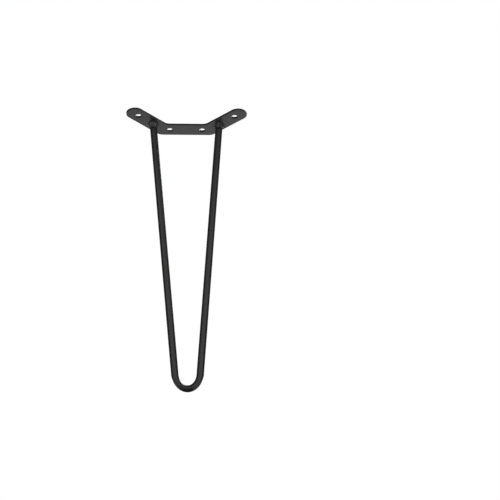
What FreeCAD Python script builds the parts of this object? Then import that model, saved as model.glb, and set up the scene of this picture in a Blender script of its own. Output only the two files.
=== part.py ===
import FreeCAD, Part
import math
import os

from FreeCAD import Matrix, Vector

# Hairpin table leg, in millimetres.
# +Z is up, as the leg hangs under a table top. The origin is the centre of the top face of the
# middle strip. X runs along the strip, the wings sweep back towards -Y, and the foot leans out
# towards +Y, where the corner of the table is.

# Mounting plate: a flat strip with two wings
STRIP_WIDTH = 25.0
STRIP_THICKNESS = 3.0
MIDDLE_LENGTH = 65.0          # centreline, from bend to bend
WING_LENGTH = 56.0            # centreline, from the bend to the centre of the round tip
WING_ANGLE = 45.0             # degrees that each wing turns back from the middle strip
NEAR_CORNER_RADIUS = 10.0     # on the hollow side of each bend
FAR_CORNER_RADIUS = 13.0      # on the outer side of each bend
EDGE_ROUND = 0.4              # edges softened by tumbling and powder coat

# Screw holes
SCREW_HOLE_DIAMETER = 8.5
MIDDLE_HOLE_SPACING = 46.0
WING_HOLE_FROM_TIP = 19.0     # from the end of the wing to the centre of its hole

# Bent bar
BAR_DIAMETER = 10.0
OVERALL_HEIGHT = 400.0        # from the top face of the plate to the lowest point of the foot
SPLAY_ANGLE = 6.0             # degrees that the hairpin leans out from upright
SEAT_ALONG_WING = 19.0        # from the bend of the plate to the centre of each bar end
SEAT_OFFSET = 1.0             # bar ends sit this far off the wing's centreline, on the foot's side
FOOT_HALF_WIDTH = 17.0        # the foot's bend is half an oval: this far to each side, to bar centre
FOOT_DEPTH = 22.0             # and this far down
FOOT_THINNING = 0.7           # the stretched outer side of the bend loses this much thickness
THINNING_RUN = 15.0           # degrees of bend over which the thinning comes in
BEND_SECTIONS = 37            # sections that shape the foot's bend

# Weld beads
BEAD_ALONG_PLATE = 2.6        # how far a bead reaches along the plate
BEAD_DOWN_BAR = 5.0           # and how far down the bar
BEAD_CROWN = 0.5              # how far its face bulges beyond the straight line between those two
BEAD_ROOT = 0.4               # how deep it is laid into bar and plate before it is trimmed to them
BEAD_LUMPS = 5                # swellings on the way round the bar
BEAD_LUMP_SHARE = 0.10        # how much each swelling adds to the bead
BEAD_RIPPLES = 36

# Worked out from the sizes above
HALF_WIDTH = STRIP_WIDTH / 2
HALF_MIDDLE = MIDDLE_LENGTH / 2
BAR_RADIUS = BAR_DIAMETER / 2
UNDERSIDE = -STRIP_THICKNESS
WING_TURN = math.radians(WING_ANGLE)
SPLAY = math.radians(SPLAY_ANGLE)
RIGHT = Vector(1, 0, 0)
WING_OUT = Vector(math.cos(WING_TURN), -math.sin(WING_TURN), 0)
WING_FAR_SIDE = Vector(math.sin(WING_TURN), math.cos(WING_TURN), 0)
WING_BEND = Vector(HALF_MIDDLE, 0, 0)


def mirrored(point):
    """The same point on the left half of the leg."""
    return Vector(-point.x, point.y, point.z)


def side_of(point, side):
    """A point of the right half, or its mirror image when the side is -1."""
    return point if side > 0 else mirrored(point)


def rounded_corner(corner, way_in, way_out, radius):
    """Start, middle and end of the arc that rounds a corner between two straight edges."""
    turn = way_in.getAngle(way_out)
    reach = radius * math.tan(turn / 2)
    start = corner - way_in * reach
    end = corner + way_out * reach
    towards_centre = (way_out - way_in).normalize()
    middle = corner + towards_centre * radius * (1 / math.cos(turn / 2) - 1)
    return start, middle, end


def plate_outline():
    """The closed outline of the plate in the plane of its underside."""
    corner_shift = HALF_WIDTH * math.tan(WING_TURN / 2)
    far_corner = WING_BEND + Vector(corner_shift, HALF_WIDTH, 0)
    near_corner = WING_BEND - Vector(corner_shift, HALF_WIDTH, 0)
    far_arc = rounded_corner(far_corner, RIGHT, WING_OUT, FAR_CORNER_RADIUS)
    near_arc = rounded_corner(near_corner, -WING_OUT, -RIGHT, NEAR_CORNER_RADIUS)

    tip_centre = WING_BEND + WING_OUT * WING_LENGTH
    tip_arc = (
        tip_centre + WING_FAR_SIDE * HALF_WIDTH,
        tip_centre + WING_OUT * HALF_WIDTH,
        tip_centre - WING_FAR_SIDE * HALF_WIDTH,
    )

    right_arcs = [far_arc, tip_arc, near_arc]
    left_arcs = [tuple(mirrored(point) for point in reversed(arc)) for arc in reversed(right_arcs)]
    arcs = right_arcs + left_arcs

    edges = []
    for arc, following in zip(arcs, arcs[1:] + arcs[:1]):
        edges.append(Part.Arc(*arc).toShape())
        edges.append(Part.makeLine(arc[2], following[0]))
    outline = Part.Wire(Part.__sortEdges__(edges))
    outline.translate(Vector(0, 0, UNDERSIDE))
    return outline


def screw_hole_centres():
    """Two holes in the middle strip and one near the tip of each wing."""
    along_wing = WING_LENGTH + HALF_WIDTH - WING_HOLE_FROM_TIP
    middle = Vector(MIDDLE_HOLE_SPACING / 2, 0, 0)
    wing = WING_BEND + WING_OUT * along_wing
    return [side_of(hole, side) for hole in (middle, wing) for side in (-1, 1)]


def mounting_plate():
    """The cut strip with its screw holes."""
    blank = Part.Face(plate_outline()).extrude(Vector(0, 0, STRIP_THICKNESS))
    rims = [edge for edge in blank.Edges if abs(edge.tangentAt(edge.FirstParameter).z) < 0.5]
    plate = blank.makeFillet(EDGE_ROUND, rims)
    for centre in screw_hole_centres():
        below = centre + Vector(0, 0, UNDERSIDE - 1)
        drill = Part.makeCylinder(SCREW_HOLE_DIAMETER / 2, STRIP_THICKNESS + 2, below)
        plate = plate.cut(drill)
    return plate


class Hairpin:
    """Where the bar runs. It lies in one leaning plane, with X across it and `down` along it."""

    def __init__(self):
        self.down = Vector(0, math.sin(SPLAY), -math.cos(SPLAY))
        self.outward = Vector(0, math.cos(SPLAY), math.sin(SPLAY))
        seat = WING_BEND + WING_OUT * SEAT_ALONG_WING + WING_FAR_SIDE * SEAT_OFFSET
        self.seat = Vector(seat.x, seat.y, UNDERSIDE)
        self.top = Vector(0, seat.y, UNDERSIDE)

        # The lowest point of the foot is where its thinned oval section reaches the floor.
        thinned = (BAR_DIAMETER - FOOT_THINNING) / 2
        reach = math.hypot(thinned * math.cos(SPLAY), BAR_RADIUS * math.sin(SPLAY))
        drop = OVERALL_HEIGHT - STRIP_THICKNESS - reach
        core_depth = drop / math.cos(SPLAY)
        self.bend_depth = core_depth - (FOOT_DEPTH - FOOT_THINNING / 2)

        # Each leg runs straight from its seat and touches the oval at this angle. It is found in
        # the plane as it looks when the oval is shortened to a circle.
        shortened = self.bend_depth * FOOT_HALF_WIDTH / FOOT_DEPTH
        slant = math.hypot(self.seat.x, shortened)
        lean = math.acos(FOOT_HALF_WIDTH / slant)
        self.touch_angle = lean - math.atan2(shortened, self.seat.x)

    def at(self, across, depth):
        """A point of the leaning plane."""
        return self.top + RIGHT * across + self.down * depth

    def bend_point(self, angle):
        """A point of the bend's oval centreline, with 0 to the right and 90 degrees down."""
        across = FOOT_HALF_WIDTH * math.cos(angle)
        return self.at(across, self.bend_depth + FOOT_DEPTH * math.sin(angle))

    def turned(self, angle):
        """How far the bar's outer side has turned down from pointing right, there on the oval."""
        return math.atan2(math.sin(angle) / FOOT_DEPTH, math.cos(angle) / FOOT_HALF_WIDTH)

    def bend_section(self, angle):
        """The bar's section at one angle of the oval. Its inner side keeps its line."""
        turn = self.turned(angle)
        into_bend = math.degrees(min(turn, math.pi - turn) - self.turned(self.touch_angle))
        share = min(1.0, max(0.0, into_bend / THINNING_RUN))
        thinning = FOOT_THINNING * share * share * (3 - 2 * share)
        radial = RIGHT * math.cos(turn) + self.down * math.sin(turn)
        along = self.down * math.cos(turn) - RIGHT * math.sin(turn)
        centre = self.bend_point(angle) - radial * (thinning / 2)
        squash = radial * (1 - thinning / BAR_DIAMETER)
        place = Matrix(
            self.outward.x, squash.x, along.x, centre.x,
            self.outward.y, squash.y, along.y, centre.y,
            self.outward.z, squash.z, along.z, centre.z,
            0, 0, 0, 1,
        )
        round_section = Part.Circle(Vector(0, 0, 0), Vector(0, 0, 1), BAR_RADIUS).toShape()
        return Part.Wire(round_section.transformGeometry(place).Edges)

    def foot(self):
        """The U-bend, from one leg round to the other."""
        sweep = math.pi - 2 * self.touch_angle
        sections = []
        for step in range(BEND_SECTIONS):
            angle = self.touch_angle + sweep * step / (BEND_SECTIONS - 1)
            sections.append(self.bend_section(angle))
        return Part.makeLoft(sections, True, False)

    def leg_line(self, side):
        """Where one straight leg starts at the bend, and its direction up to the plate."""
        start = side_of(self.bend_point(self.touch_angle), side)
        upward = (side_of(self.seat, side) - start).normalize()
        return start, upward

    def leg(self, side, spare=0.0):
        """One straight leg. The spare length runs on through the plate, for trimming."""
        start, upward = self.leg_line(side)
        length = start.distanceToPoint(side_of(self.seat, side)) + spare
        return Part.makeCylinder(BAR_RADIUS, length, start, upward)


def room_above_underside():
    """Everything above the plate's underside, for trimming what is welded to it."""
    size = 2 * (HALF_MIDDLE + WING_LENGTH + STRIP_WIDTH)
    room = Part.makeBox(size, size, STRIP_THICKNESS + BAR_DIAMETER + size)
    room.translate(Vector(-size / 2, -size / 2, UNDERSIDE))
    return room


def hairpin_rod(hairpin):
    """The bar in one piece, its ends cut flush with the underside of the plate."""
    rod = hairpin.foot()
    for side in (-1, 1):
        rod = rod.fuse(hairpin.leg(side, spare=BAR_DIAMETER))
    return rod.cut(room_above_underside()).removeSplitter()


def weld_bead(hairpin, side, first_lump, fuller_side):
    """The lumpy fillet bead that runs round one end of the bar.

    Each ripple is a section across the bead, and the next one joins it. `first_lump` turns the
    lumps round the bar, in degrees, and `fuller_side` is the direction in which the bead is
    thickest, in degrees from +X.
    """
    seat = side_of(hairpin.seat, side)
    up_the_bar = hairpin.leg_line(side)[1]
    down_the_bar = -up_the_bar
    upright = Vector(0, 0, 1)
    across = up_the_bar.cross(upright).normalize()
    with_slope = upright.cross(across)
    long_radius = BAR_RADIUS / up_the_bar.z

    sections = []
    for ripple in range(BEAD_RIPPLES):
        turn = 2 * math.pi * ripple / BEAD_RIPPLES
        out = across * math.cos(turn) + with_slope * math.sin(turn)
        rim = seat + across * BAR_RADIUS * math.cos(turn) + with_slope * long_radius * math.sin(turn)
        lump = math.cos(BEAD_LUMPS * turn + math.radians(first_lump))
        fullness = math.cos(math.atan2(out.y, out.x) - math.radians(fuller_side))
        growth = 1 + BEAD_LUMP_SHARE * (lump + fullness)

        toe = rim + out * BEAD_ALONG_PLATE * growth + upright * BEAD_ROOT
        neck = rim + down_the_bar * BEAD_DOWN_BAR * growth - out * BEAD_ROOT
        facing = (out * BEAD_DOWN_BAR + down_the_bar * BEAD_ALONG_PLATE).normalize()
        bulge = facing * BEAD_CROWN * growth
        root = rim + upright * BEAD_ROOT - out * BEAD_ROOT
        face = Part.Arc(toe, (toe + neck) * 0.5 + bulge, neck).toShape()
        sections.append(Part.Wire([face, Part.makeLine(neck, root), Part.makeLine(root, toe)]))

    laid = Part.makeLoft(sections, True, True, True)
    trimmed_to_plate = laid.cut(room_above_underside())
    return trimmed_to_plate.cut(hairpin.leg(side, spare=BAR_DIAMETER))


def main():
    """Build each piece and write it to its own file."""
    os.makedirs("parts", exist_ok=True)
    hairpin = Hairpin()
    pieces = {
        "mounting_plate": mounting_plate(),
        "hairpin_rod": hairpin_rod(hairpin),
        "weld_left": weld_bead(hairpin, side=-1, first_lump=40, fuller_side=-120),
        "weld_right": weld_bead(hairpin, side=1, first_lump=200, fuller_side=-20),
    }
    for name, shape in pieces.items():
        shape.exportStep(f"parts/{name}.step")
        print(name, "valid", shape.isValid(), "solids", len(shape.Solids), "volume", round(shape.Volume, 1))


main()
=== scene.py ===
"""A black powder-coated hairpin table leg, dressed for the camera.

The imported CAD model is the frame. Each visible piece is modelled here again, in finer detail, at
the place of the CAD node that it stands for. Sizes are in metres, and angles are in radians unless
they are said to be in degrees. The leg hangs as it does under a table: +Z is up, the origin is the
centre of the top face of the plate's middle strip, X runs along the strip, and the foot leans out
towards +Y, away from the camera.
"""

import logging
import math
from collections.abc import Iterable
from dataclasses import dataclass
from enum import Enum

import bmesh
import bpy
from mathutils import Matrix, Vector, noise


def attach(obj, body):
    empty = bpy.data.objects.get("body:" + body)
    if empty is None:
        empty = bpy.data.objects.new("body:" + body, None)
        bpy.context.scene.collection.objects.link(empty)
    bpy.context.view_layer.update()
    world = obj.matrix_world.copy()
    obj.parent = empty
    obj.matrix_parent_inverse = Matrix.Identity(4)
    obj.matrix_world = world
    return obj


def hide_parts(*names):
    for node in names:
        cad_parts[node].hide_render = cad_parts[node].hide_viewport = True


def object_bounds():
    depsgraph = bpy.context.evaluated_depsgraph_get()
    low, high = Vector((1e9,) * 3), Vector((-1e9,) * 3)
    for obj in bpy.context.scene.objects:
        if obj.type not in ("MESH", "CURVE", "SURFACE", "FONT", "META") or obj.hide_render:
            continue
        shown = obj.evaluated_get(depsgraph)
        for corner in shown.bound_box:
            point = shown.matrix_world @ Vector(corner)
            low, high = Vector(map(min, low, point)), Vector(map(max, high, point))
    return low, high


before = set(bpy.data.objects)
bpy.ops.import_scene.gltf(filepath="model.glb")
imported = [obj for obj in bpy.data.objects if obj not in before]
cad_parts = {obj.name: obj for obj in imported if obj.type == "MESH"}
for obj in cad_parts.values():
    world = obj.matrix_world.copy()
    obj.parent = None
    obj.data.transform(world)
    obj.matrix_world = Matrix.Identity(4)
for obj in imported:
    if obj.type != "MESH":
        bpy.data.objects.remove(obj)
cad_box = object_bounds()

LOG = logging.getLogger("hairpin_leg")
ROOT_BODY = "root"

UP = Vector((0.0, 0.0, 1.0))
RIGHT = Vector((1.0, 0.0, 0.0))
FAR = Vector((0.0, 1.0, 0.0))
MERGE_DISTANCE = 1e-6
WHITE = (1.0, 1.0, 1.0, 1.0)


class Side(Enum):
    """The two halves of the leg, as the photograph shows them."""

    LEFT = -1
    RIGHT = 1


def on_side(point: Vector, side: Side) -> Vector:
    """Takes a point or a direction of the right half to the half that is asked for.

    Args:
        point: A point or direction given for the right half.
        side: The half that it is wanted on.

    Returns:
        The point itself, or its mirror image in the plane x = 0.
    """
    return Vector((point.x * side.value, point.y, point.z))


def smooth_step(value: float) -> float:
    """Returns a value between 0 and 1 that leaves both ends without a kink."""
    share = min(1.0, max(0.0, value))
    return share * share * (3.0 - 2.0 * share)


def put_in_scene(name: str, data: bpy.types.ID) -> bpy.types.Object:
    """Adds an object to the scene, at the origin.

    Args:
        name: The object's name.
        data: The mesh, light or camera that it holds.

    Returns:
        The object.
    """
    made = bpy.data.objects.new(name, data)
    bpy.context.scene.collection.objects.link(made)
    return made


def verts_of(geometry: Iterable) -> list[bmesh.types.BMVert]:
    """Returns the vertices among the geometry that an operator gives back."""
    return [item for item in geometry if isinstance(item, bmesh.types.BMVert)]


def edges_of(geometry: Iterable) -> list[bmesh.types.BMEdge]:
    """Returns the edges among the geometry that an operator gives back."""
    return [item for item in geometry if isinstance(item, bmesh.types.BMEdge)]


def put_in_order(mesh: bmesh.types.BMesh) -> None:
    """Sorts a mesh's vertices and faces by place, because the operators leave them in any order.

    Args:
        mesh: The mesh, which is then the same at each run.
    """
    verts = sorted(mesh.verts, key=lambda vertex: vertex.co.to_tuple(6))
    faces = sorted(mesh.faces, key=lambda face: face.calc_center_median().to_tuple(6))
    for parts in (verts, faces):
        for rank, part in enumerate(parts):
            part.index = rank
    mesh.verts.sort()
    mesh.faces.sort()


class Pen:
    """Draws one chain of edges from straight runs and arcs, with the extrude and spin operators."""

    def __init__(self, mesh: bmesh.types.BMesh, start: Vector, axis: Vector = UP) -> None:
        """Puts the pen down.

        Args:
            mesh: The mesh to draw in.
            start: The first point of the chain.
            axis: The normal of the plane that it is drawn in.
        """
        self.mesh = mesh
        self.axis = axis
        self.tip = mesh.verts.new(start)
        self.first = self.tip

    def line_to(self, point: Vector) -> None:
        """Draws a straight run.

        Args:
            point: Where the run ends.
        """
        made = bmesh.ops.extrude_vert_indiv(self.mesh, verts=[self.tip])
        self.tip = made["verts"][0]
        bmesh.ops.translate(self.mesh, verts=[self.tip], vec=point - self.tip.co)

    def turn(self, centre: Vector, angle: float, steps: int) -> None:
        """Draws an arc.

        Args:
            centre: The centre of the arc.
            angle: How far it turns, counter-clockwise seen against the axis.
            steps: The number of edges in the arc.
        """
        made = bmesh.ops.spin(
            self.mesh,
            geom=[self.tip],
            cent=centre,
            axis=self.axis,
            angle=angle,
            steps=steps,
            use_duplicate=False,
        )
        self.tip = verts_of(made["geom_last"])[0]

    def close(self) -> None:
        """Joins the end of the chain to its start."""
        bmesh.ops.contextual_create(self.mesh, geom=[self.tip, self.first])


class NodeSheet:
    """The node tree of a material or world, with short ways to add nodes to it."""

    def __init__(
        self, owner: bpy.types.Material | bpy.types.World, output: str = "ShaderNodeOutputMaterial"
    ) -> None:
        """Clears the tree and adds its output node.

        Args:
            owner: The material or world whose nodes are made.
            output: The output node's type.
        """
        owner.use_nodes = True
        self.tree = owner.node_tree
        self.tree.nodes.clear()
        self.output = self.add(output)

    def add(self, kind: str, **values: object) -> bpy.types.Node:
        """Adds a node.

        Args:
            kind: The node's type.
            values: What its input sockets are set to, with _ for each space in a socket's name.

        Returns:
            The new node.
        """
        node = self.tree.nodes.new(kind)
        for name, value in values.items():
            node.inputs[name.replace("_", " ")].default_value = value
        return node

    def link(self, source: bpy.types.NodeSocket, target: bpy.types.NodeSocket) -> None:
        """Links an output socket to an input socket."""
        self.tree.links.new(source, target)

    def noise(
        self, place: bpy.types.NodeSocket, scale: float, detail: float, roughness: float = 0.5
    ) -> bpy.types.NodeSocket:
        """Adds a noise pattern.

        Args:
            place: The coordinates that it reads.
            scale: Its waves to the metre.
            detail: How many finer layers it has.
            roughness: How strong the finer layers are.

        Returns:
            The socket that gives the pattern, from 0 to 1.
        """
        node = self.add("ShaderNodeTexNoise", Scale=scale, Detail=detail, Roughness=roughness)
        self.link(place, node.inputs["Vector"])
        return node.outputs["Fac"]

    def spread(
        self, source: bpy.types.NodeSocket, low: float, high: float, start: float, end: float
    ) -> bpy.types.NodeSocket:
        """Maps a pattern to a range of values.

        Args:
            source: The pattern.
            low: The pattern's value that gives start.
            high: The pattern's value that gives end.
            start: The first value of the new range.
            end: The last value of the new range.

        Returns:
            The socket that gives the mapped value.
        """
        node = self.add(
            "ShaderNodeMapRange", From_Min=low, From_Max=high, To_Min=start, To_Max=end
        )
        self.link(source, node.inputs["Value"])
        return node.outputs["Result"]

    def larger(
        self, first: bpy.types.NodeSocket, second: bpy.types.NodeSocket
    ) -> bpy.types.NodeSocket:
        """Picks the larger of two values.

        Args:
            first: The socket that gives one value.
            second: The socket that gives the other value.

        Returns:
            The socket that gives the larger one.
        """
        node = self.add("ShaderNodeMath")
        node.operation = "MAXIMUM"
        self.link(first, node.inputs[0])
        self.link(second, node.inputs[1])
        return node.outputs["Value"]

    def mix(
        self, share: bpy.types.NodeSocket, first: bpy.types.NodeSocket, second: bpy.types.NodeSocket
    ) -> bpy.types.NodeSocket:
        """Mixes two shaders.

        Args:
            share: The socket that gives the second shader's share.
            first: The shader that shows where the share is 0.
            second: The shader that shows where the share is 1.

        Returns:
            The socket that gives the mixed shader.
        """
        node = self.add("ShaderNodeMixShader")
        self.link(share, node.inputs["Fac"])
        self.link(first, node.inputs[1])
        self.link(second, node.inputs[2])
        return node.outputs["Shader"]

    def bump(
        self,
        pattern: bpy.types.NodeSocket,
        depth: float,
        under: bpy.types.NodeSocket | None = None,
    ) -> bpy.types.NodeSocket:
        """Roughens a surface.

        Args:
            pattern: The pattern that gives the height, from 0 to 1.
            depth: The height of its highest places over its lowest ones.
            under: The normal of the surface that the pattern lies on, where that is rough too.

        Returns:
            The socket that gives the normal.
        """
        node = self.add("ShaderNodeBump", Strength=1.0, Distance=depth)
        self.link(pattern, node.inputs["Height"])
        if under is not None:
            self.link(under, node.inputs["Normal"])
        return node.outputs["Normal"]


@dataclass(frozen=True)
class PowderCoat:
    """The satin black powder coat that covers the whole leg.

    Attributes:
        name: The material's name.
        dark: The coat's colour where it looks deepest.
        light: The coat's colour where it looks palest.
        smoothest: The lowest roughness of the surface.
        roughest: The highest roughness of the surface.
        gloss: The specular level.
        peel: The depth of the orange peel.
        grain: The depth of the fine grain in the coat.
        speckle_share: The share of the colour's changes that is fine speckle, and not broad cloud.
        shift: How far the pattern is moved, so that no two pieces look the same.
    """

    name: str
    dark: tuple[float, float, float, float] = (0.010, 0.010, 0.0104, 1.0)
    light: tuple[float, float, float, float] = (0.020, 0.020, 0.0205, 1.0)
    smoothest: float = 0.26
    roughest: float = 0.36
    gloss: float = 0.50
    peel: float = 0.00004
    grain: float = 0.000012
    speckle_share: float = 0.55
    shift: tuple[float, float, float] = (0.0, 0.0, 0.0)

    def material(self) -> bpy.types.Material:
        """Makes the coat.

        Returns:
            The new material.
        """
        made = bpy.data.materials.new(self.name)
        sheet = NodeSheet(made)
        place = sheet.add("ShaderNodeMapping", Location=self.shift)
        sheet.link(sheet.add("ShaderNodeTexCoord").outputs["Object"], place.inputs["Vector"])
        where = place.outputs["Vector"]

        cloud = sheet.noise(where, scale=38.0, detail=3.0)
        speckle = sheet.noise(where, scale=620.0, detail=4.0, roughness=0.65)
        peel = sheet.noise(where, scale=420.0, detail=1.5)
        grain = sheet.noise(where, scale=2300.0, detail=2.0)

        broad = sheet.spread(cloud, low=0.3, high=0.7, start=0.0, end=1.0 - self.speckle_share)
        blend = sheet.add("ShaderNodeMath")
        blend.operation = "MULTIPLY_ADD"
        sheet.link(sheet.spread(speckle, low=0.25, high=0.75, start=0.0, end=1.0), blend.inputs[0])
        blend.inputs[1].default_value = self.speckle_share
        sheet.link(broad, blend.inputs[2])
        tone = sheet.add("ShaderNodeMix")
        tone.data_type = "RGBA"
        dark, light = tone.inputs[6], tone.inputs[7]
        dark.default_value, light.default_value = self.dark, self.light
        sheet.link(blend.outputs["Value"], tone.inputs["Factor"])

        sheen = sheet.spread(speckle, low=0.3, high=0.7, start=self.smoothest, end=self.roughest)
        surface = sheet.bump(peel, self.peel, under=sheet.bump(grain, self.grain))
        shader = sheet.add("ShaderNodeBsdfPrincipled", Specular_IOR_Level=self.gloss)
        sheet.link(tone.outputs[2], shader.inputs["Base Color"])
        sheet.link(sheen, shader.inputs["Roughness"])
        sheet.link(surface, shader.inputs["Normal"])
        sheet.link(shader.outputs["BSDF"], sheet.output.inputs["Surface"])
        return made


@dataclass(frozen=True)
class PaleFloor:
    """The plain pale floor's finish. It fades out far away, and hides nothing from below.

    Attributes:
        colour: The floor's colour.
        fade_start: How far from the origin the floor begins to fade into the background.
        fade_end: How far from the origin it has faded.
    """

    colour: tuple[float, float, float, float] = (0.80, 0.80, 0.80, 1.0)
    fade_start: float = 0.85
    fade_end: float = 1.65

    def material(self) -> bpy.types.Material:
        """Makes the floor's finish.

        Returns:
            The new material.
        """
        made = bpy.data.materials.new("pale_floor")
        sheet = NodeSheet(made)
        reach = sheet.add("ShaderNodeVectorMath")
        reach.operation = "LENGTH"
        sheet.link(sheet.add("ShaderNodeTexCoord").outputs["Object"], reach.inputs[0])
        faded = sheet.spread(
            reach.outputs["Value"], low=self.fade_start, high=self.fade_end, start=0.0, end=1.0
        )
        from_below = sheet.add("ShaderNodeNewGeometry").outputs["Backfacing"]
        floor = sheet.add("ShaderNodeBsdfDiffuse", Color=self.colour)
        clear = sheet.add("ShaderNodeBsdfTransparent")
        mixed = sheet.mix(
            sheet.larger(faded, from_below), floor.outputs["BSDF"], clear.outputs["BSDF"]
        )
        sheet.link(mixed, sheet.output.inputs["Surface"])
        return made


class LegPiece:
    """What the pieces of the leg share: each is modelled, dressed and stands for one CAD node."""

    node: str
    finish: PowderCoat

    def shape(self) -> bmesh.types.BMesh:
        """Models the piece at its place.

        Returns:
            The mesh, closed, in the frame of the leg.
        """
        raise NotImplementedError

    def build(self) -> bpy.types.Object:
        """Turns the model into a smooth-shaded object.

        Returns:
            The object, with its place in its mesh.
        """
        mesh = self.shape()
        bmesh.ops.remove_doubles(mesh, verts=mesh.verts, dist=MERGE_DISTANCE)
        bmesh.ops.recalc_face_normals(mesh, faces=mesh.faces)
        put_in_order(mesh)
        for face in mesh.faces:
            face.smooth = True
        data = bpy.data.meshes.new(f"{self.node}_detail")
        mesh.to_mesh(data)
        mesh.free()
        return put_in_scene(f"{self.node}_detail", data)

    def dress(self, piece: bpy.types.Object) -> None:
        """Gives the piece its coat, and its place in the frame.

        Args:
            piece: The object that build() made.
        """
        piece.data.materials.append(self.finish.material())
        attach(piece, ROOT_BODY)
        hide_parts(self.node)


@dataclass(frozen=True)
class MountingPlate(LegPiece):
    """The flat strip with two swept-back wings that is screwed under the table top.

    Attributes:
        strip_width: The width of the strip.
        thickness: The thickness of the strip.
        middle_length: The middle strip's centreline, from bend to bend.
        wing_length: A wing's centreline, from the bend to the centre of the round tip.
        wing_angle: How far a wing turns back from the middle strip.
        near_corner_radius: The rounding on the hollow side of a bend.
        far_corner_radius: The rounding on the outer side of a bend.
        edge_round: The rounding of the long edges under the coat.
        hole_diameter: The screw holes' diameter.
        hole_edge_round: The rounding of the holes' edges under the coat.
        middle_hole_spacing: The distance between the middle strip's holes.
        wing_hole_from_tip: From the end of a wing to the centre of its hole.
        holding_loop: How far inside an edge the flat faces are held flat.
        least_flatness: How far up or down the normal of a flat face points at the least.
        least_rim_angle: The least angle between two faces that meet at a rim.
        rim_slack: How far from its circle an edge still counts as a hole's rim.
        corner_steps: The number of edges in the rounding of a bend.
        tip_steps: The number of edges in the round end of a wing.
        hole_steps: The number of edges round a hole.
        edge_steps: The number of faces across a rounded long edge.
        hole_edge_steps: The number of faces across a hole's rounded edge.
    """

    node: str = "mounting_plate"
    finish: PowderCoat = PowderCoat("coat_on_plate")
    strip_width: float = 0.025
    thickness: float = 0.003
    middle_length: float = 0.065
    wing_length: float = 0.056
    wing_angle: float = math.radians(45)
    near_corner_radius: float = 0.010
    far_corner_radius: float = 0.013
    edge_round: float = 0.0004
    hole_diameter: float = 0.0085
    hole_edge_round: float = 0.00012
    middle_hole_spacing: float = 0.046
    wing_hole_from_tip: float = 0.019
    holding_loop: float = 0.0005
    least_flatness: float = 0.9999
    least_rim_angle: float = math.radians(60)
    rim_slack: float = 0.0001
    corner_steps: int = 10
    tip_steps: int = 44
    hole_steps: int = 56
    edge_steps: int = 5
    hole_edge_steps: int = 3

    @property
    def half_width(self) -> float:
        """Half the strip's width."""
        return self.strip_width / 2

    @property
    def wing_bend(self) -> Vector:
        """The point where the right wing's centreline leaves the middle strip."""
        return Vector((self.middle_length / 2, 0.0, 0.0))

    @property
    def wing_out(self) -> Vector:
        """The direction of the right wing, away from the middle."""
        return Vector((math.cos(self.wing_angle), -math.sin(self.wing_angle), 0.0))

    @property
    def wing_far_side(self) -> Vector:
        """The direction across the right wing, towards the side of the foot."""
        return Vector((math.sin(self.wing_angle), math.cos(self.wing_angle), 0.0))

    def hole_centres(self) -> list[Vector]:
        """Finds the two screw holes of the right half.

        Returns:
            Their centres in the top face, the middle strip's first.
        """
        along_wing = self.wing_length + self.half_width - self.wing_hole_from_tip
        middle = Vector((self.middle_hole_spacing / 2, 0.0, 0.0))
        return [middle, self.wing_bend + self.wing_out * along_wing]

    def draw_right_half(self, mesh: bmesh.types.BMesh) -> None:
        """Draws the outline of the right half and its two holes in the top face.

        Args:
            mesh: The mesh to draw in.
        """
        tangent = math.tan(self.wing_angle / 2)
        shift = self.half_width * tangent
        far_reach = self.far_corner_radius * tangent
        near_reach = self.near_corner_radius * tangent
        far_corner = self.wing_bend + Vector((shift, self.half_width, 0.0))
        near_corner = self.wing_bend - Vector((shift, self.half_width, 0.0))
        far_start = far_corner - RIGHT * far_reach
        near_start = near_corner + self.wing_out * near_reach
        near_end = near_corner - RIGHT * near_reach
        tip_centre = self.wing_bend + self.wing_out * self.wing_length

        pen = Pen(mesh, FAR * self.half_width)
        pen.line_to(far_start)
        pen.turn(far_start - FAR * self.far_corner_radius, -self.wing_angle, self.corner_steps)
        pen.line_to(tip_centre + self.wing_far_side * self.half_width)
        pen.turn(tip_centre, -math.pi, self.tip_steps)
        pen.line_to(near_start)
        pen.turn(near_end - FAR * self.near_corner_radius, self.wing_angle, self.corner_steps)
        pen.line_to(-FAR * self.half_width)
        pen.close()
        for centre in self.hole_centres():
            bmesh.ops.create_circle(
                mesh,
                segments=self.hole_steps,
                radius=self.hole_diameter / 2,
                matrix=Matrix.Translation(centre),
            )

    def rims(self, mesh: bmesh.types.BMesh, of_holes: bool) -> list[bmesh.types.BMEdge]:
        """Finds the edges between the flat faces and the walls.

        Args:
            mesh: The plate's mesh.
            of_holes: Whether the holes' edges are wanted, or the outline's.

        Returns:
            The edges.
        """
        centres = [on_side(centre, side) for centre in self.hole_centres() for side in Side]
        reach = self.hole_diameter / 2 + self.rim_slack
        found = []
        for edge in mesh.edges:
            if len(edge.link_faces) != 2 or edge.calc_face_angle() < self.least_rim_angle:
                continue
            point = edge.verts[0].co
            in_hole = any((point.xy - centre.xy).length < reach for centre in centres)
            if in_hole == of_holes:
                found.append(edge)
        return found

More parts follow.
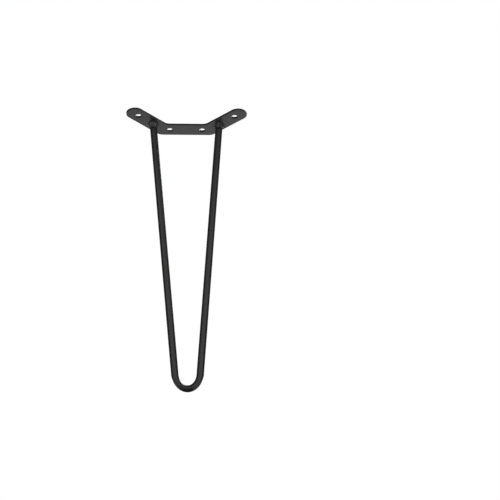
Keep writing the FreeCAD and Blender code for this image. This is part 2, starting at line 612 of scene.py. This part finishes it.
    def shape(self) -> bmesh.types.BMesh:
        """Models the plate: outline, mirror image, thickness, rounded edges, holding loops.

        Returns:
            The mesh.
        """
        mesh = bmesh.new()
        self.draw_right_half(mesh)
        bmesh.ops.triangle_fill(mesh, use_beauty=True, edges=mesh.edges[:], normal=UP)
        bmesh.ops.mirror(
            mesh,
            geom=mesh.verts[:] + mesh.edges[:] + mesh.faces[:],
            axis="X",
            merge_dist=MERGE_DISTANCE,
        )
        pulled = bmesh.ops.extrude_face_region(mesh, geom=mesh.faces[:])
        bmesh.ops.translate(mesh, verts=verts_of(pulled["geom"]), vec=-UP * self.thickness)
        bmesh.ops.recalc_face_normals(mesh, faces=mesh.faces)
        for of_holes, offset, segments in (
            (False, self.edge_round, self.edge_steps),
            (True, self.hole_edge_round, self.hole_edge_steps),
        ):
            bmesh.ops.bevel(
                mesh,
                geom=self.rims(mesh, of_holes),
                offset=offset,
                offset_type="OFFSET",
                affect="EDGES",
                segments=segments,
                profile=0.5,
                material=-1,
            )
        flat = [face for face in mesh.faces if abs(face.normal.z) > self.least_flatness]
        bmesh.ops.inset_region(
            mesh, faces=flat, thickness=self.holding_loop, use_even_offset=True
        )
        return mesh


@dataclass(frozen=True)
class BentBar(LegPiece):
    """The round bar, bent cold into a hairpin, with its ends cut flush under the plate.

    Attributes:
        plate: The plate that it is welded to.
        diameter: The bar's diameter.
        overall_height: From the top face of the plate to the lowest point of the foot.
        splay: How far the hairpin leans out from upright.
        seat_along_wing: From the bend of the plate to the centre of a bar end.
        seat_offset: How far the bar ends sit off the wing's centreline.
        foot_half_width: How far the foot's half oval reaches to each side, at the bar's centre.
        foot_depth: How far it reaches down.
        thinning: How much thickness the stretched outer side of the bend loses.
        thinning_run: The angle of bend over which the thinning comes in.
        around: The number of faces round the bar.
        bend_steps: The number of rings in the bend.
        leg_rings: The number of rings in each straight leg.
    """

    plate: MountingPlate = MountingPlate()
    node: str = "hairpin_rod"
    finish: PowderCoat = PowderCoat("coat_on_bar", shift=(0.31, 0.12, 0.07))
    diameter: float = 0.010
    overall_height: float = 0.400
    splay: float = math.radians(6)
    seat_along_wing: float = 0.019
    seat_offset: float = 0.001
    foot_half_width: float = 0.017
    foot_depth: float = 0.022
    thinning: float = 0.0007
    thinning_run: float = math.radians(15)
    around: int = 64
    bend_steps: int = 84
    leg_rings: int = 40

    @property
    def radius(self) -> float:
        """The bar's radius."""
        return self.diameter / 2

    @property
    def down(self) -> Vector:
        """The direction down the leaning plane of the hairpin."""
        return Vector((0.0, math.sin(self.splay), -math.cos(self.splay)))

    @property
    def outward(self) -> Vector:
        """The normal of the leaning plane."""
        return Vector((0.0, math.cos(self.splay), math.sin(self.splay)))

    @property
    def underside(self) -> float:
        """The height of the plate's underside."""
        return -self.plate.thickness

    @property
    def seat(self) -> Vector:
        """The place of the right bar end on the plate.

        Returns:
            The centre of the bar's end, in the plate's underside.
        """
        place = (
            self.plate.wing_bend
            + self.plate.wing_out * self.seat_along_wing
            + self.plate.wing_far_side * self.seat_offset
        )
        return Vector((place.x, place.y, self.underside))

    @property
    def bend_depth(self) -> float:
        """How far down the leaning plane the centre of the foot's oval is.

        Returns:
            The distance from the plate's underside, which brings the foot to the full height.
        """
        thinned = (self.diameter - self.thinning) / 2
        reach = math.hypot(thinned * math.cos(self.splay), self.radius * math.sin(self.splay))
        drop = self.overall_height - self.plate.thickness - reach
        return drop / math.cos(self.splay) - (self.foot_depth - self.thinning / 2)

    @property
    def bend_centre(self) -> Vector:
        """The centre of the foot's oval."""
        return Vector((0.0, self.seat.y, self.underside)) + self.down * self.bend_depth

    @property
    def touch_angle(self) -> float:
        """The angle of the oval at which the right leg leaves it.

        Returns:
            The angle, measured from +X down, at which a line from the seat touches the oval.
        """
        shortened = self.bend_depth * self.foot_half_width / self.foot_depth
        slant = math.hypot(self.seat.x, shortened)
        return math.acos(self.foot_half_width / slant) - math.atan2(shortened, self.seat.x)

    def radial(self, angle: float) -> Vector:
        """The direction outward from the oval's centre: 0 is right and a quarter turn is down."""
        return RIGHT * math.cos(angle) + self.down * math.sin(angle)

    def bend_point(self, angle: float) -> Vector:
        """A point of the oval centreline, at an angle measured from +X."""
        across = RIGHT * (self.foot_half_width * math.cos(angle))
        return self.bend_centre + across + self.down * (self.foot_depth * math.sin(angle))

    def turned(self, angle: float) -> float:
        """How far the bar's outer side has turned down from pointing right, there on the oval."""
        return math.atan2(math.sin(angle) / self.foot_depth, math.cos(angle) / self.foot_half_width)

    def leg_line(self, side: Side) -> tuple[Vector, Vector]:
        """Finds the centreline of one straight leg.

        Args:
            side: Which leg.

        Returns:
            Where it leaves the bend, and its direction up to the plate.
        """
        start = on_side(self.bend_point(self.touch_angle), side)
        return start, (on_side(self.seat, side) - start).normalized()

    def draw_out_the_bend(self, mesh: bmesh.types.BMesh) -> None:
        """Turns the round bend into the oval, and thins the outer side as stretching does.

        Args:
            mesh: The mesh of a round bend, as wide as the oval.
        """
        for vertex in mesh.verts:
            arm = vertex.co - self.bend_centre
            across, below = arm.dot(RIGHT), arm.dot(self.down)
            angle = math.atan2(below, across)
            turn = self.turned(angle)
            into_bend = min(turn, math.pi - turn) - self.turned(self.touch_angle)
            loss = self.thinning * smooth_step(into_bend / self.thinning_run)
            off_centre = math.hypot(across, below) - self.foot_half_width
            off_centre = off_centre * (1.0 - loss / self.diameter) - loss / 2
            aside = self.outward * arm.dot(self.outward)
            vertex.co = self.bend_point(angle) + self.radial(turn) * off_centre + aside

    def draw_leg(
        self, mesh: bmesh.types.BMesh, ring: list[bmesh.types.BMEdge], side: Side
    ) -> None:
        """Draws one straight leg up from the bend, ring by ring, and cuts it flush with the plate.

        Args:
            mesh: The mesh of the bend.
            ring: The edges of the bend's end ring on that side.
            side: Which leg.
        """
        upward = self.leg_line(side)[1]
        for steps_left in range(self.leg_rings + 1, 0, -1):
            pulled = bmesh.ops.extrude_edge_only(mesh, edges=ring)["geom"]
            ring = [edge for edge in edges_of(pulled) if edge.is_boundary]
            for vertex in verts_of(pulled):
                run = (self.underside - vertex.co.z) / upward.z
                vertex.co += upward * (run / steps_left)
        bmesh.ops.contextual_create(mesh, geom=ring)

    def shape(self) -> bmesh.types.BMesh:
        """Models the bar: a round section spun round the foot, thinned, then the two legs.

        Returns:
            The mesh.
        """
        mesh = bmesh.new()
        angle = self.touch_angle
        along = self.radial(angle + math.pi / 2)
        outer = self.radial(angle)
        centre = self.bend_centre + outer * self.foot_half_width
        turned = Matrix((outer, along.cross(outer), along)).transposed().to_4x4()
        place = Matrix.Translation(centre) @ turned
        bmesh.ops.create_circle(mesh, segments=self.around, radius=self.radius, matrix=place)
        first_ring = mesh.edges[:]
        spun = bmesh.ops.spin(
            mesh,
            geom=mesh.verts[:] + first_ring,
            cent=self.bend_centre,
            axis=self.outward,
            angle=math.pi - 2 * angle,
            steps=self.bend_steps,
            use_duplicate=False,
        )
        last_ring = edges_of(spun["geom_last"])
        self.draw_out_the_bend(mesh)
        self.draw_leg(mesh, first_ring, Side.RIGHT)
        self.draw_leg(mesh, last_ring, Side.LEFT)
        return mesh


@dataclass(frozen=True)
class Swelling:
    """One lump or pit in the face of a weld bead.

    Attributes:
        turn: Where it is round the bar, in degrees from +X.
        along: Where it is across the bead, from 0 at the plate to 1 at the bar.
        width: Its radius round the bar.
        length: Its radius across the bead.
        height: How far it stands out, or how deep it is if below zero.
    """

    turn: float
    along: float
    width: float
    length: float
    height: float


@dataclass(frozen=True)
class WeldBead(LegPiece):
    """The lumpy fillet bead round one end of the bar, with its ripples.

    It is modelled as if the bar stood square to the plate, and then sheared to the bar's lean.

    Attributes:
        bar: The bar that it holds.
        side: Which end of the bar.
        first_lump: The turn of the lumps round the bar, in degrees.
        fuller_side: The direction in which the bead is thickest, in degrees from +X.
        swellings: The single lumps and pits in its face.
        plate_leg: How far it reaches along the plate.
        bar_leg: How far it reaches down the bar.
        crown: How far its face bulges.
        root: How deep its hidden back lies in bar and plate.
        lumps: The number of broad lumps on the way round.
        lump_share: How much each of them adds.
        ripples: The number of ripples on the way round.
        ripple_height: The height of a ripple.
        ripple_mean: The mean of a ripple's wave, which is taken off it so that it adds no size.
        ripple_sag: How far a ripple trails behind in the middle of the bead, in ripples.
        ripple_drift: How far chance moves a ripple round the bar, as an angle of its wave.
        ripple_layer: Where the ripples' chance is picked, on one side of 0 for each bead.
        grain_height: The height of the uneven grain in the bead's face.
        grain_waves: How dense the grain is, round the bar and across the bead.
        grain_layer: Where the grain's chance is picked, on one side of 0 for each bead.
        wander: How far the bead's edges wander.
        wander_waves: How often they do so on the way round.
        run_out: The share of the bead's face over which its lumps run out on the bar.
        around: The number of faces round the bar.
        across: The number of faces across the bead's face.
    """

    node: str
    finish: PowderCoat
    bar: BentBar
    side: Side
    first_lump: float
    fuller_side: float
    swellings: tuple[Swelling, ...] = ()
    plate_leg: float = 0.0026
    bar_leg: float = 0.0050
    crown: float = 0.0002
    root: float = 0.0003
    lumps: int = 5
    lump_share: float = 0.10
    ripples: int = 30
    ripple_height: float = 0.00018
    ripple_mean: float = 0.6366
    ripple_sag: float = 1.1
    ripple_drift: float = 2.2
    ripple_layer: float = 3.0
    grain_height: float = 0.00016
    grain_waves: tuple[float, float] = (3.5, 2.0)
    grain_layer: float = 5.0
    wander: float = 0.00022
    wander_waves: float = 2.6
    run_out: float = 0.35
    around: int = 260
    across: int = 18

    def draw_section(self, mesh: bmesh.types.BMesh) -> None:
        """Draws the section across the bead, in the plane through the bar's axis.

        Args:
            mesh: The mesh to draw in.
        """
        rim = self.bar.radius
        toe = Vector((rim + self.plate_leg, 0.0, 0.0))
        neck = Vector((rim, 0.0, -self.bar_leg))
        half_chord = (neck - toe).length / 2
        face_radius = (half_chord * half_chord + self.crown * self.crown) / (2 * self.crown)
        facing = Vector((self.bar_leg, 0.0, -self.plate_leg)).normalized()
        centre = (toe + neck) / 2 + facing * (self.crown - face_radius)
        pen = Pen(mesh, toe, axis=FAR)
        pen.turn(centre, 2 * math.asin(half_chord / face_radius), self.across)
        pen.line_to(Vector((rim - self.root, 0.0, -self.bar_leg)))
        pen.line_to(Vector((rim - self.root, 0.0, self.root)))
        pen.line_to(Vector((rim + self.plate_leg, 0.0, self.root)))
        pen.close()

    def grow(self, turn: float) -> float:
        """Finds how much fuller the bead is at one place round the bar.

        Args:
            turn: The place, as an angle from +X.

        Returns:
            The factor on the bead's size.
        """
        lump = math.cos(self.lumps * turn + math.radians(self.first_lump))
        fullness = math.cos(turn - math.radians(self.fuller_side))
        return 1.0 + self.lump_share * (lump + fullness)

    def chance(self, turn: float, waves: float, layer: float) -> float:
        """Picks a smoothly changing random value for a place round the bar.

        Args:
            turn: The place, as an angle from +X.
            waves: How fast it changes on the way round.
            layer: Which of the many patterns it comes from.

        Returns:
            The value, from -1 to 1. It is the same each time.
        """
        return noise.noise(Vector((math.cos(turn) * waves, math.sin(turn) * waves, layer)))

    def relief(self, turn: float, along: float) -> float:
        """Finds how far the face stands out at one place: ripples, lumps, pits and grain.

        Args:
            turn: The place round the bar, as an angle from +X.
            along: The place across the bead, from 0 at the plate to 1 at the bar.

        Returns:
            The height.
        """
        middle = math.sin(math.pi * along)
        phase = self.ripples * turn + 2 * math.pi * self.ripple_sag * middle
        own_layer = self.side.value * self.ripple_layer
        phase += self.ripple_drift * self.chance(turn, waves=1.0, layer=own_layer)
        ridge = abs(math.cos(phase / 2)) - self.ripple_mean
        height = self.ripple_height * ridge * middle
        round_it, across_it = self.grain_waves
        own_layer = along * across_it + self.side.value * self.grain_layer
        grain = self.chance(turn, waves=round_it, layer=own_layer)
        height += self.grain_height * grain * middle
        ring = self.bar.radius + self.plate_leg / 2
        face = math.hypot(self.plate_leg, self.bar_leg)
        left_of_lumps = smooth_step((1.0 - along) / self.run_out)
        for swelling in self.swellings:
            away = math.remainder(turn - math.radians(swelling.turn), 2 * math.pi) * ring
            up = (along - swelling.along) * face
            distance = math.hypot(away / swelling.width, up / swelling.length)
            height += swelling.height * math.exp(-distance * distance) * left_of_lumps
        return height

    def work_the_face(self, mesh: bmesh.types.BMesh) -> None:
        """Gives the plain ring its swellings, wandering edges, ripples and lumps.

        Args:
            mesh: The mesh of the plain ring, square to the plate.
        """
        rim = self.bar.radius
        for vertex in mesh.verts:
            reach = math.hypot(vertex.co.x, vertex.co.y)
            turn = math.atan2(vertex.co.y, vertex.co.x)
            out = Vector((vertex.co.x, vertex.co.y, 0.0)) / reach
            off, depth = reach - rim, -vertex.co.z
            size = self.grow(turn)
            if depth >= 0.0 and off >= 0.0:
                quarter = math.atan2(depth / self.bar_leg, off / self.plate_leg)
                along = quarter / (math.pi / 2)
                drift = self.chance(turn, waves=self.wander_waves, layer=along)
                size += drift * self.wander / self.plate_leg
                height = self.relief(turn, along)
                tilt = math.atan2(
                    math.sin(quarter) / self.bar_leg, math.cos(quarter) / self.plate_leg
                )
                off = off * size + height * math.cos(tilt)
                depth = depth * size + height * math.sin(tilt)
            else:
                off = off * size if off > 0 else off
                depth = depth * size if depth > 0 else depth
            vertex.co = out * (rim + off) - UP * depth

    def lean(self) -> Matrix:
        """Takes the square model to the plate and the leaning bar.

        Returns:
            The matrix: stretched to the oval in which the plate cuts the bar, sheared, and moved.
        """
        up_the_bar = self.bar.leg_line(self.side)[1]
        slope = Vector((up_the_bar.x, up_the_bar.y, 0.0)) / up_the_bar.z
        leaning = slope.normalized()
        growth = 1.0 / up_the_bar.z - 1.0
        stretch = Matrix.Identity(4)
        for row in range(2):
            for column in range(2):
                stretch[row][column] += growth * leaning[row] * leaning[column]
        shear = Matrix.Identity(4)
        shear[0][2], shear[1][2] = slope.x, slope.y
        return Matrix.Translation(on_side(self.bar.seat, self.side)) @ shear @ stretch

    def shape(self) -> bmesh.types.BMesh:
        """Models the bead: a section spun round the bar, worked, then sheared to the lean.

        Returns:
            The mesh.
        """
        mesh = bmesh.new()
        self.draw_section(mesh)
        bmesh.ops.spin(
            mesh,
            geom=mesh.verts[:] + mesh.edges[:],
            cent=Vector(),
            axis=UP,
            angle=2 * math.pi,
            steps=self.around,
            use_merge=True,
            use_duplicate=False,
        )
        self.work_the_face(mesh)
        bmesh.ops.transform(mesh, matrix=self.lean(), verts=mesh.verts)
        return mesh


@dataclass(frozen=True)
class Lamp:
    """What the lamps share: each stands out of the camera's sight and points at the leg.

    Attributes:
        name: The lamp's name.
        place: Where it stands.
        aim: What it points at.
        watts: Its power.
    """

    name: str
    place: tuple[float, float, float]
    aim: tuple[float, float, float]
    watts: float

    def light(self) -> bpy.types.Light:
        """Makes the light that the lamp gives.

        Returns:
            The light, without its power.
        """
        raise NotImplementedError

    def build(self) -> None:
        """Puts the lamp in the scene, turned to what it points at."""
        data = self.light()
        data.energy = self.watts
        lamp = put_in_scene(self.name, data)
        lamp.location = self.place
        lamp.rotation_mode = "QUATERNION"
        lamp.rotation_quaternion = (Vector(self.aim) - Vector(self.place)).to_track_quat("-Z", "Y")
        lamp.visible_camera = False


@dataclass(frozen=True)
class Softbox(Lamp):
    """A soft rectangular lamp.

    Attributes:
        size: Its width and height.
    """

    size: tuple[float, float]

    def light(self) -> bpy.types.Light:
        """Makes an even rectangle of light.

        Returns:
            The light, without its power.
        """
        data = bpy.data.lights.new(self.name, "AREA")
        data.shape = "RECTANGLE"
        data.size, data.size_y = self.size
        return data


@dataclass(frozen=True)
class Spotlight(Lamp):
    """A small lamp with a narrow cone, which puts the glints on the weld beads.

    Attributes:
        cone: The full angle of its cone, in degrees.
        radius: How large it is.
        soft_edge: The share of the cone over which its light fades to nothing.
    """

    cone: float = 22.0
    radius: float = 0.06
    soft_edge: float = 0.4

    def light(self) -> bpy.types.Light:
        """Makes a narrow cone of light.

        Returns:
            The light, without its power.
        """
        data = bpy.data.lights.new(self.name, "SPOT")
        data.spot_size = math.radians(self.cone)
        data.spot_blend = self.soft_edge
        data.shadow_soft_size = self.radius
        return data


@dataclass(frozen=True)
class Studio:
    """The pale floor under the foot, the white background and the lamps.

    Attributes:
        floor_level: The height of the floor.
        floor_radius: The floor's radius.
        floor_steps: The number of sides that the round floor has.
        floor_finish: The floor's finish.
        ambient: How bright the surroundings light the leg.
        mirrored_floor: How bright the far floor is in reflections.
        mirrored_room: How bright the room beside the backdrop is in reflections.
        floor_depth: How steeply down a reflection looks where it meets the far floor in full.
        backdrop_edge: Where the backdrop behind the leg begins and ends in reflections.
        lamps: The lamps.
    """

    floor_level: float
    floor_radius: float = 3.0
    floor_steps: int = 96
    floor_finish: PaleFloor = PaleFloor()
    ambient: float = 0.30
    mirrored_floor: float = 0.7
    mirrored_room: float = 0.05
    floor_depth: float = -0.06
    backdrop_edge: tuple[float, float] = (0.87, 0.96)
    lamps: tuple[Lamp, ...] = (
        Softbox("overhead", (1.0, 0.9, 1.7), (0.15, 0.5, -0.4), 42.0, size=(1.2, 1.2)),
        Softbox("front_left", (-0.88, -1.62, 0.13), (0.0, 0.0, -0.2), 6.2, size=(1.9, 1.0)),
        Softbox("front_right", (0.88, -1.62, 0.13), (0.0, 0.0, -0.2), 6.2, size=(1.9, 1.0)),
        Spotlight("low_left", (-0.9, -0.9, -0.28), (0.0, 0.0, -0.01), 2.6),
        Spotlight("low_right", (1.15, -0.45, -0.28), (0.0, 0.0, -0.01), 2.6),
        Spotlight("back_left", (-1.0, 0.9, -0.25), (-0.05, -0.01, -0.01), 4.0, cone=6.0),
        Spotlight("back_right", (1.0, 0.9, -0.25), (0.0, 0.0, -0.01), 4.0),
    )

    def lay_floor(self) -> None:
        """Lays the floor under the foot."""
        mesh = bmesh.new()
        bmesh.ops.create_circle(
            mesh,
            cap_ends=True,
            segments=self.floor_steps,
            radius=self.floor_radius,
            matrix=Matrix.Translation((0.0, 0.0, self.floor_level)),
        )
        data = bpy.data.meshes.new("floor")
        mesh.to_mesh(data)
        mesh.free()
        data.materials.append(self.floor_finish.material())
        put_in_scene("floor", data)

    def light_the_world(self) -> None:
        """Makes the background white to see, and dimmer as a light.

        Reflections show the white backdrop behind the leg, a dim room beside it and the far floor.
        """
        world = bpy.data.worlds.new("studio")
        bpy.context.scene.world = world
        sheet = NodeSheet(world, "ShaderNodeOutputWorld")
        direction = sheet.add("ShaderNodeSeparateXYZ")
        sheet.link(sheet.add("ShaderNodeTexCoord").outputs["Generated"], direction.inputs[0])
        sweep = sheet.spread(
            direction.outputs["Z"],
            low=self.floor_depth,
            high=0.0,
            start=self.mirrored_floor,
            end=self.mirrored_room,
        )
        edge_low, edge_high = self.backdrop_edge
        backdrop = sheet.spread(
            direction.outputs["Y"], low=edge_low, high=edge_high, start=0.0, end=1.0
        )
        room = sheet.add("ShaderNodeBackground", Color=WHITE)
        sheet.link(sheet.larger(sweep, backdrop), room.inputs["Strength"])
        lit = sheet.add("ShaderNodeBackground", Color=WHITE, Strength=self.ambient)
        white = sheet.add("ShaderNodeBackground", Color=WHITE, Strength=1.0)

        path = sheet.add("ShaderNodeLightPath").outputs
        mirrored = sheet.larger(path["Is Glossy Ray"], path["Is Transmission Ray"])
        unseen = sheet.mix(mirrored, lit.outputs["Background"], room.outputs["Background"])
        shown = sheet.mix(path["Is Camera Ray"], unseen, white.outputs["Background"])
        sheet.link(shown, sheet.output.inputs["Surface"])

    def build(self) -> None:
        """Sets up the floor, the background and the lamps."""
        self.lay_floor()
        self.light_the_world()
        for lamp in self.lamps:
            lamp.build()


@dataclass(frozen=True)
class PhotoCamera:
    """The camera, at the place from which the photograph was taken.

    Attributes:
        place: Where it stands.
        to_the_right: The direction of the picture's right, in the frame of the leg.
        downwards: The direction of the picture's lower edge.
        forwards: The direction that it looks in.
        focal_pixels: Its focal length, in pixels of the photograph.
        frame_pixels: The side of the square photograph, in pixels.
        sensor: The sensor's width, in millimetres.
    """

    place: tuple[float, float, float] = (-0.05772, -2.16627, -1.43245)
    to_the_right: tuple[float, float, float] = (0.998321, -0.052613, -0.024234)
    downwards: tuple[float, float, float] = (0.004972, 0.494654, -0.869076)
    forwards: tuple[float, float, float] = (0.057712, 0.867496, 0.494085)
    focal_pixels: float = 1819.7257
    frame_pixels: float = 500.0
    sensor: float = 36.0

    def build(self) -> None:
        """Puts the camera in the scene and makes it the one that is used."""
        data = bpy.data.cameras.new("photo_camera")
        data.sensor_width = self.sensor
        data.lens = self.focal_pixels / self.frame_pixels * self.sensor
        camera = put_in_scene("photo_camera", data)
        upwards, backwards = -Vector(self.downwards), -Vector(self.forwards)
        turned = Matrix((Vector(self.to_the_right), upwards, backwards)).transposed()
        camera.matrix_world = Matrix.Translation(self.place) @ turned.to_4x4()
        bpy.context.scene.camera = camera


def weld_coat(name: str, shift: tuple[float, float, float]) -> PowderCoat:
    """Returns the coat on a weld bead, where it flows out smoother than on flat steel."""
    return PowderCoat(name, smoothest=0.12, roughest=0.19, peel=0.00006, shift=shift)


def left_weld(bar: BentBar) -> WeldBead:
    """Describes the bead at the left end of the bar.

    Args:
        bar: The bar that it holds.

    Returns:
        The bead, with the lumps and pits that the photograph shows.
    """
    return WeldBead(
        node="weld_left",
        finish=weld_coat("coat_on_left_weld", shift=(0.05, 0.21, 0.4)),
        bar=bar,
        side=Side.LEFT,
        first_lump=40.0,
        fuller_side=-120.0,
        swellings=(
            Swelling(turn=-106, along=0.55, width=0.0015, length=0.0020, height=0.0008),
            Swelling(turn=-84, along=0.52, width=0.0008, length=0.0016, height=-0.0012),
            Swelling(turn=-62, along=0.50, width=0.0009, length=0.0022, height=0.0014),
            Swelling(turn=-34, along=0.32, width=0.0012, length=0.0024, height=-0.0012),
            Swelling(turn=-136, along=0.50, width=0.0010, length=0.0014, height=0.0009),
            Swelling(turn=4, along=0.35, width=0.0012, length=0.0016, height=0.0010),
            Swelling(turn=166, along=0.16, width=0.0022, length=0.0012, height=0.0013),
            Swelling(turn=38, along=0.18, width=0.0018, length=0.0012, height=0.0013),
            Swelling(turn=120, along=0.45, width=0.0016, length=0.0018, height=0.0007),
        ),
    )


def right_weld(bar: BentBar) -> WeldBead:
    """Describes the bead at the right end of the bar.

    Args:
        bar: The bar that it holds.

    Returns:
        The bead, with the lumps and pits that the photograph shows.
    """
    return WeldBead(
        node="weld_right",
        finish=weld_coat("coat_on_right_weld", shift=(0.27, 0.43, 0.1)),
        bar=bar,
        side=Side.RIGHT,
        first_lump=200.0,
        fuller_side=-20.0,
        swellings=(
            Swelling(turn=-117, along=0.42, width=0.0014, length=0.0018, height=0.0012),
            Swelling(turn=-89, along=0.55, width=0.0008, length=0.0015, height=-0.0009),
            Swelling(turn=-66, along=0.48, width=0.0012, length=0.0013, height=0.0011),
            Swelling(turn=-72, along=0.85, width=0.0010, length=0.0009, height=-0.0007),
            Swelling(turn=-48, along=0.06, width=0.0010, length=0.0011, height=-0.0015),
            Swelling(turn=-36, along=0.78, width=0.0011, length=0.0012, height=0.0008),
            Swelling(turn=0, along=0.55, width=0.0012, length=0.0016, height=0.0010),
            Swelling(turn=-150, along=0.50, width=0.0030, length=0.0026, height=-0.0007),
            Swelling(turn=34, along=0.16, width=0.0018, length=0.0012, height=0.0009),
            Swelling(turn=128, along=0.50, width=0.0020, length=0.0018, height=0.0006),
        ),
    )


def main() -> None:
    """Builds and dresses the leg piece by piece, then the studio and the camera."""
    logging.basicConfig(level=logging.INFO, format="%(name)s: %(message)s")
    bpy.context.scene.view_settings.view_transform = "Standard"
    plate = MountingPlate()
    bar = BentBar(plate=plate)
    for part in (plate, bar, left_weld(bar), right_weld(bar)):
        piece = part.build()
        part.dress(piece)
        LOG.info("%s stands for %s, with %d faces", piece.name, part.node, len(piece.data.polygons))
    Studio(floor_level=cad_box[0].z).build()
    PhotoCamera().build()


if __name__ == "__main__":
    main()
